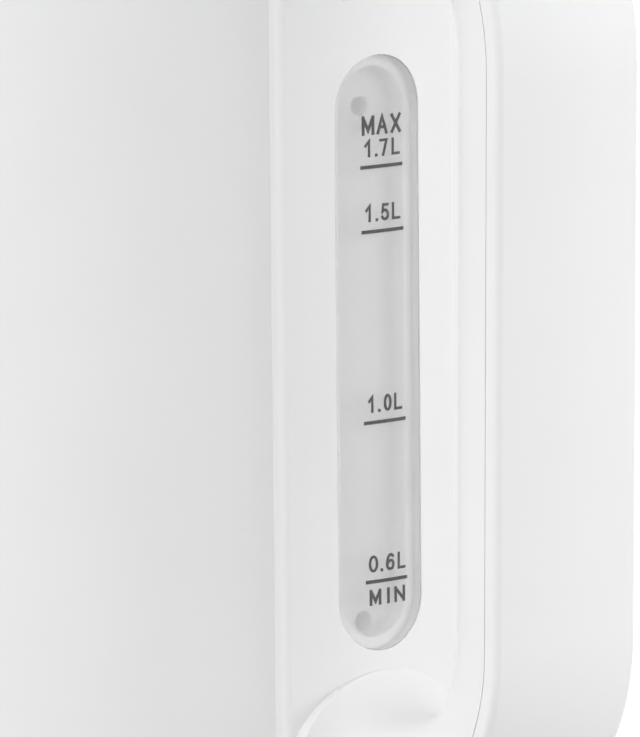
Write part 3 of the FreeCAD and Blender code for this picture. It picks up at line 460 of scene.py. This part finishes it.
# Seals
# Milky silicone: the ring under the heating plate and the lip on the lid's plug.
# Both are squeezed between rigid pieces, so only their edges show.
silicone = finish("silicone", specular=0.4)
tint(silicone, grain(silicone, 180), (0.62, 0.62, 0.61), (0.69, 0.69, 0.68))
polish(silicone, grain(silicone, 600), 0.4, 0.55)
relief(silicone, grain(silicone, 2500), 0.00003, 0.15)
dress(silicone, "plate_seal", "lid_seal")

# Heat spreader
# Rolled aluminium disc brazed under the steel plate, with faint straight rolling lines.
# It carries the heating tube and takes the screws of the control.
aluminium = finish("aluminium", metallic=1.0)
tint(aluminium, grain(aluminium, 300, stretch=(0.05, 1.0, 1.0)), (0.56, 0.57, 0.58), (0.68, 0.69, 0.70))
polish(aluminium, grain(aluminium, 800, stretch=(0.05, 1.0, 1.0)), 0.3, 0.48)
dress(aluminium, "heat_spreader")

# Heating element
# Aluminium-sheathed heating tube bent to an open ring and brazed to the spreader.
# The sheath is dulled by the furnace; the steel terminals come out of its two ends.
element_skin = finish("element_skin", metallic=1.0)
tint(element_skin, grain(element_skin, 350), (0.34, 0.33, 0.32), (0.47, 0.46, 0.45))
polish(element_skin, grain(element_skin, 900), 0.42, 0.6)
relief(element_skin, grain(element_skin, 1800), 0.00005, 0.3)
dress(element_skin, "heating_element")
dress(zinc_steel, "element_terminals")

# Control
# Moulded nylon block under the spreader, with the steam tube that leads hot vapour down to its disc.
# The push rod between the lever and the contacts is of the same natural nylon.
control_nylon = finish("control_nylon")
tint(control_nylon, grain(control_nylon, 90), (0.60, 0.57, 0.49), (0.66, 0.63, 0.55))
polish(control_nylon, grain(control_nylon, 800), 0.4, 0.55)
relief(control_nylon, grain(control_nylon, 3000), 0.00004, 0.25)
dress(control_nylon, "control_body", "steam_tube", "contact_plunger")

# Bimetal discs
# Small snap discs stamped from rolled bimetal strip: two against the spreader, one in the steam cup.
# The strip has rolling lines and a warm grey-brown tone.
bimetal = finish("bimetal", metallic=1.0)
tint(bimetal, grain(bimetal, 500, stretch=(1.0, 0.06, 1.0)), (0.40, 0.36, 0.31), (0.54, 0.50, 0.45))
polish(bimetal, grain(bimetal, 1000, stretch=(1.0, 0.06, 1.0)), 0.26, 0.42)
dress(bimetal, "dry_boil_discs", "steam_disc")

# Switch
# White lever below the handle that tips on a steel pin through the lugs of the control.
# The paddle is pressed down with a finger and springs back when the water boils.
dress(white_plastic, "switch_lever")
dress(zinc_steel, "switch_pin")

# Bottom cover
# Light grey disc that closes the jug from below, fixed to bosses in the jug with three screws.
# It has the same matt eroded surface as the base plate.
dress(grey_plastic, "bottom_cover")

# Gauge chamber and seal
# Shallow trough behind the pane, let into the jug's wall with a water hole at each end; its grey colour is
# painted shade, the shadow that falls inside this recess.
# A frame of whiter silicone is squeezed between its edge and the pane, and shows as a paler outline.
chamber_painted_shade = finish("chamber_painted_shade")
# The grey tint here is painted shade of the recess behind the pane, not the plastic's own colour.
tint(chamber_painted_shade, grain(chamber_painted_shade, 90), (0.68, 0.68, 0.68), (0.72, 0.72, 0.72))
polish(chamber_painted_shade, grain(chamber_painted_shade, 800), 0.4, 0.55)
dress(chamber_painted_shade, "gauge_chamber")
pale_silicone = finish("pale_silicone")
tint(pale_silicone, grain(pale_silicone, 180), (0.88, 0.88, 0.87), (0.92, 0.92, 0.91))
polish(pale_silicone, grain(pale_silicone, 600), 0.4, 0.55)
dress(pale_silicone, "gauge_seal")

# Gauge pane
# Tall clear pane of slightly milky plastic, welded into the window of the handle panel over its seal.
# It is polished outside, and the dim chamber, the seal and the two water holes show faintly through.
clear_pane = finish("clear_pane", alpha=0.3)
tint(clear_pane, grain(clear_pane, 30), (0.92, 0.92, 0.92), (0.95, 0.95, 0.95))
polish(clear_pane, grain(clear_pane, 300), 0.12, 0.2)
dress(clear_pane, "gauge_window")

# Gauge print
# Litre scale printed on the pane in dark grey ink, drawn in narrow single strokes with a bar under each mark.
# The ink stands a tenth of a millimetre on the pane and follows its curve.
gauge_ink = finish("gauge_ink", specular=0.3)
tint(gauge_ink, grain(gauge_ink, 1500), (0.075, 0.075, 0.077), (0.10, 0.10, 0.102))
polish(gauge_ink, grain(gauge_ink, 1200), 0.45, 0.6)
bowl_turns = [math.radians(a) for a in range(90, 451, 20)]
bowl = [(0.5 + 0.5 * math.cos(turn), 0.5 + 0.5 * math.sin(turn)) for turn in bowl_turns]
strokes = {
    "M": [[(0, 0), (0, 1)], [(0.06, 0.9), (0.5, 0.2), (0.94, 0.9)], [(1, 1), (1, 0)]],
    "A": [[(0, 0), (0.5, 1), (1, 0)], [(0.19, 0.34), (0.81, 0.34)]],
    "X": [[(0, 0), (1, 1)], [(0, 1), (1, 0)]],
    "I": [[(0.5, 0), (0.5, 1)]],
    "N": [[(0, 0), (0, 1)], [(0.06, 0.9), (0.94, 0.1)], [(1, 0), (1, 1)]],
    "L": [[(0, 1), (0, 0), (1, 0)]],
    "0": [bowl],
    "1": [[(0, 0.7), (0.8, 1), (0.8, 0)]],
    "5": [[(0.92, 1), (0.16, 1), (0.06, 0.54), (0.3, 0.63), (0.6, 0.63), (0.88, 0.5), (1, 0.32), (0.93, 0.14),
           (0.7, 0.02), (0.38, 0), (0.14, 0.05), (0, 0.16)]],
    "6": [[(0.9, 0.9), (0.68, 1), (0.4, 0.98), (0.15, 0.78), (0.02, 0.48), (0.03, 0.22), (0.2, 0.04),
           (0.5, 0), (0.82, 0.05), (0.98, 0.22), (0.97, 0.42), (0.78, 0.57), (0.48, 0.6), (0.2, 0.5),
           (0.04, 0.3)]],
    "7": [[(0, 1), (1, 1), (0.4, 0)]],
    ".": [[(0.5, 0), (0.5, 0.02)]],
}
ink_thick, ink_sink = 0.1, 0.01
mitre_limit = 0.45
# Each line: baseline height, cap height, stroke width, then glyph, left edge and right edge.
print_lines = [
    (179.6, 3.7, 0.62, [("M", -3.9, -0.95), ("A", -0.35, 2.3), ("X", 3.13, 5.68)]),
    (175.4, 3.3, 0.52, [("1", -3.32, -1.77), (".", -0.82, -0.17), ("7", 0.33, 2.3), ("L", 3.33, 5.38)]),
    (163.0, 3.3, 0.52, [("1", -3.22, -1.77), (".", -0.82, -0.17), ("5", 0.58, 2.53), ("L", 3.28, 5.38)]),
    (126.3, 3.3, 0.52, [("1", -2.92, -1.52), (".", -0.52, 0.08), ("0", 0.88, 2.78), ("L", 3.48, 5.48)]),
    (95.4, 3.3, 0.52, [("0", -3.07, -0.85), (".", -0.22, 0.33), ("6", 1.08, 3.25), ("L", 4.05, 6.0)]),
    (89.0, 3.1, 0.58, [("M", -2.92, -0.15), ("I", 1.28, 1.98), ("N", 3.18, 5.88)]),
]
# Each bar: height and middle.
print_bars = [(173.5, 0.88), (161.1, 1.0), (124.4, 1.22), (93.6, 1.35)]
bar_length, bar_width, bar_steps = 9.6, 0.68, 8
pane_foot_radius, pane_narrowing = 71.2, 3.0
jug_foot, jug_rise = 22.0, 208.0


def pane_point(y, z, proud):
    """A point on the pane's tapered face, raised by proud, from millimetres to metres."""
    radius = pane_foot_radius - pane_narrowing * (z - jug_foot) / jug_rise + proud
    return Vector((math.sqrt(radius ** 2 - y ** 2), y, z)) / 1000


def skin(mesh, rings, closed=False):
    """Faces along a row of four-cornered rings, with an end face at each end unless it is closed."""
    following = rings[1:] + rings[:1] if closed else rings[1:]
    for one, two in zip(rings, following):
        for k in range(4):
            mesh.faces.new((one[k], one[(k + 1) % 4], two[(k + 1) % 4], two[k]))
    if not closed:
        mesh.faces.new(rings[0][::-1])
        mesh.faces.new(rings[-1])


def settled(name, mesh, material):
    """A piece from a finished mesh in one finish."""
    bmesh.ops.recalc_face_normals(mesh, faces=mesh.faces)
    plain = bpy.data.meshes.new(name)
    mesh.to_mesh(plain)
    mesh.free()
    plain.materials.append(material)
    piece = bpy.data.objects.new(name, plain)
    bpy.context.scene.collection.objects.link(piece)
    return piece


def ink_line(mesh, points, width):
    """A flat ribbon along points on the pane, mitred at its corners, closed all round."""
    points = [Vector(p) for p in points]
    closed = (points[0] - points[-1]).length < 1e-4
    if closed:
        points = points[:-1]
    count = len(points)
    edges = []
    for i, here in enumerate(points):
        ways = []
        if i or closed:
            ways.append((here - points[i - 1]).normalized())
        if i < count - 1 or closed:
            ways.append((points[(i + 1) % count] - here).normalized())
        along = (ways[0] + ways[-1]).normalized()
        side = Vector((-along.y, along.x))
        square = Vector((-ways[0].y, ways[0].x))
        reach_out = side * (width / 2 / max(side.dot(square), mitre_limit))
        back = Vector((0.0, 0.0))
        if not closed and i in (0, count - 1):
            back = along * (width / 2 if i else -width / 2)
        edges.append((here + reach_out + back, here - reach_out + back))
    rings = []
    for left, right in edges:
        corners = [pane_point(p.x, p.y, lift_by) for p, lift_by in
                   ((left, ink_thick), (right, ink_thick), (right, ink_sink), (left, ink_sink))]
        rings.append([mesh.verts.new(c) for c in corners])
    skin(mesh, rings, closed)


ink = bmesh.new()
for baseline, cap, width, glyphs in print_lines:
    for glyph, left, right in glyphs:
        inner_left, inner_right = left + width / 2, right - width / 2
        for line in strokes[glyph]:
            spread = [(inner_left + (inner_right - inner_left) * u, baseline + width / 2 + (cap - width) * v)
                      for u, v in line]
            ink_line(ink, spread, width)
for bar_z, middle in print_bars:
    steps = [middle + bar_length * (k / bar_steps - 0.5) for k in range(bar_steps + 1)]
    ink_line(ink, [(y, bar_z) for y in steps], bar_width)
gauge_print = settled("gauge_print", ink, gauge_ink)
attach(gauge_print, "kettle")

# Handle
# Inner moulding with the gauge panel and both roots, and the crowned outer cover of the grip.
# Both are the satin white plastic; the cover snaps on and leaves a thin parting groove down both sides.
dress(white_plastic, "handle_inner", "handle_cover")

# End filler of the handle
# Thin crowned wall of the same white plastic that closes the cover's hollow end beside the lid.
# It follows the round of the jug, flush with the panel, and is drawn here only: the solids are open there.
filler_half, filler_thick, filler_steps = 18.9, 2.5, 32
filler_low, filler_radius, crown_radius, crown_top = 238.4, 68.37, 125.9, 242.0
filler = bmesh.new()
ribs = []
for k in range(filler_steps + 1):
    y = filler_half * (2 * k / filler_steps - 1)
    near = math.sqrt(filler_radius ** 2 - y ** 2)
    top = crown_top - crown_radius + math.sqrt(crown_radius ** 2 - y ** 2)
    far = near + filler_thick
    corners = [(near, filler_low), (far, filler_low), (far, top), (near, top)]
    ribs.append([filler.verts.new(Vector((x, y, z)) / 1000) for x, z in corners])
skin(filler, ribs)
handle_end = settled("handle_end", filler, white_plastic)
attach(handle_end, "kettle")

# Screws of the jug
# Four hold the handle panel from inside the jug, three hold the control to the spreader,
# and three hold the bottom cover to the jug's bosses.
panel_screw_side, panel_screw_grip = 16.5, 5.5
kettle_seats = []
for x, z, out, aside in ((63.345, 38.7, 0.9677, 0.2521), (60.681, 217.2, 0.9650, 0.2624)):
    for side in (-1, 1):
        kettle_seats.append(((x, side * panel_screw_side, z), (out, side * aside, 0.0), panel_screw_grip))
kettle_seats += seat_ring(26.0, 38.7, 6.75, (90, 210, 330))
kettle_seats += seat_ring(57.0, 24.4, 5.8, (60, 180, 300))
kettle_screw_set = grown("kettle_screw_set", screw_seats("kettle_seats", kettle_seats), pan_head_screws)
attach(kettle_screw_set, "kettle")
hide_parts("handle_screws", "control_screws", "bottom_screws")

# Collar and hinge pin
# White ring pressed into the rim of the jug, with the well for the lid and the hinge deck at its rear.
# A ground steel pin goes through the deck and the lid's lugs.
dress(white_plastic, "rim_collar")
dress(zinc_steel, "lid_hinge_pin")

# Lid
# Low dome with a finger tab at the spout side, closed from below by a plug that carries the lip seal.
# Three screws hold the plug to posts under the dome.
dress(white_plastic, "lid_cover", "lid_liner")
lid_seats = seat_ring(29.85, 224.9, 7.0, (60, 180, 300))
lid_screw_set = grown("lid_screw_set", screw_seats("lid_seats", lid_seats), pan_head_screws)
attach(lid_screw_set, "lid")
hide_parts("lid_screws")

# Limescale filter
# Curved white frame close behind the spout's opening, moulded round a sheet of plain-woven nylon mesh.
# The threads run up and across, each passing over one neighbour and under the next.
dress(white_plastic, "filter_frame")
mesh_nylon = finish("mesh_nylon")
tint(mesh_nylon, grain(mesh_nylon, 400), (0.55, 0.55, 0.54), (0.66, 0.66, 0.65))
polish(mesh_nylon, grain(mesh_nylon, 1500), 0.35, 0.5)


def weave_tree(material):
    """Geometry nodes: plain weave of round threads, bent on to the jug's tapered inside."""
    tree = bpy.data.node_groups.new("woven_mesh", "GeometryNodeTree")
    face = tree.interface
    face.new_socket("Seed", in_out="INPUT", socket_type="NodeSocketGeometry")
    for label, size in (("Half Width", 0.0195), ("Half Height", 0.0185), ("Pitch", 0.001),
                        ("Thread", 0.00017), ("Crimp", 0.00012), ("Middle Height", 0.2008),
                        ("Middle Radius", 0.06122), ("Taper", -0.01442)):
        face.new_socket(label, in_out="INPUT", socket_type="NodeSocketFloat").default_value = size
    face.new_socket("Mesh", in_out="OUTPUT", socket_type="NodeSocketGeometry")
    make, join_up = tree.nodes.new, tree.links.new
    inlet, outlet = make("NodeGroupInput"), make("NodeGroupOutput")
    size = inlet.outputs
    lay, sums = partial(vector_of, tree), partial(reckon, tree)
    both = make("GeometryNodeJoinGeometry")
    for across in (False, True):
        along_half = size["Half Width"] if across else size["Half Height"]
        row_half = size["Half Height"] if across else size["Half Width"]
        line = make("GeometryNodeCurvePrimitiveLine")
        ends = [sums("MULTIPLY", along_half, -1.0), along_half]
        for label, end in zip(("Start", "End"), ends):
            join_up(lay(0.0, end, 0.0) if across else lay(0.0, 0.0, end), line.inputs[label])
        fine = make("GeometryNodeResampleCurve")
        fine.mode = "LENGTH"
        join_up(line.outputs[0], fine.inputs["Curve"])
        join_up(sums("MULTIPLY", size["Pitch"], 0.5), fine.inputs["Length"])
        rows = make("GeometryNodeMeshLine")
        rows.mode = "OFFSET"
        gaps = sums("FLOOR", sums("DIVIDE", sums("MULTIPLY", row_half, 2.0), size["Pitch"]))
        join_up(sums("ADD", gaps, 1.0), rows.inputs["Count"])
        first = sums("MULTIPLY", row_half, -1.0)
        join_up(lay(0.0, 0.0, first) if across else lay(0.0, first, 0.0), rows.inputs["Start Location"])
        step = lay(0.0, 0.0, size["Pitch"]) if across else lay(0.0, size["Pitch"], 0.0)
        join_up(step, rows.inputs["Offset"])
        put = make("GeometryNodeInstanceOnPoints")
        join_up(rows.outputs[0], put.inputs["Points"])
        join_up(fine.outputs[0], put.inputs["Instance"])
        spread = make("GeometryNodeRealizeInstances")
        join_up(put.outputs[0], spread.inputs[0])
        place = make("GeometryNodeInputPosition")
        split = make("ShaderNodeSeparateXYZ")
        join_up(place.outputs[0], split.inputs[0])
        from_side = sums("ADD", split.outputs["Y"], size["Half Width"])
        from_foot = sums("ADD", split.outputs["Z"], size["Half Height"])
        pitches = sums("DIVIDE", sums("ADD", from_side, from_foot), size["Pitch"])
        wave = sums("COSINE", sums("MULTIPLY", pitches, math.pi))
        lift_by = sums("MULTIPLY", sums("MULTIPLY", wave, size["Crimp"]), -1.0 if across else 1.0)
        lean = sums("MULTIPLY", split.outputs["Z"], size["Taper"])
        radius = sums("ADD", sums("ADD", size["Middle Radius"], lean), lift_by)
        angle = sums("DIVIDE", split.outputs["Y"], size["Middle Radius"])
        bent = lay(sums("MULTIPLY", sums("MULTIPLY", radius, sums("COSINE", angle)), -1.0),
                   sums("MULTIPLY", radius, sums("SINE", angle)),
                   sums("ADD", split.outputs["Z"], size["Middle Height"]))
        bend = make("GeometryNodeSetPosition")
        join_up(spread.outputs[0], bend.inputs["Geometry"])
        join_up(bent, bend.inputs["Position"])
        section = make("GeometryNodeCurvePrimitiveCircle")
        section.inputs["Resolution"].default_value = 6
        join_up(size["Thread"], section.inputs["Radius"])
        tube = make("GeometryNodeCurveToMesh")
        tube.inputs["Fill Caps"].default_value = True
        join_up(bend.outputs[0], tube.inputs["Curve"])
        join_up(section.outputs[0], tube.inputs["Profile Curve"])
        soft = make("GeometryNodeSetShadeSmooth")
        join_up(tube.outputs[0], soft.inputs[0])
        join_up(soft.outputs[0], both.inputs[0])
    real = make("GeometryNodeRealizeInstances")
    coat = make("GeometryNodeSetMaterial")
    coat.inputs["Material"].default_value = material
    join_up(both.outputs[0], real.inputs[0])
    join_up(real.outputs[0], coat.inputs["Geometry"])
    join_up(coat.outputs[0], outlet.inputs["Mesh"])
    return tree


woven_mesh = grown("woven_mesh", bpy.data.meshes.new("woven_seed"), weave_tree(mesh_nylon))
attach(woven_mesh, "kettle")
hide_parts("filter_mesh")

bpy.context.view_layer.update()
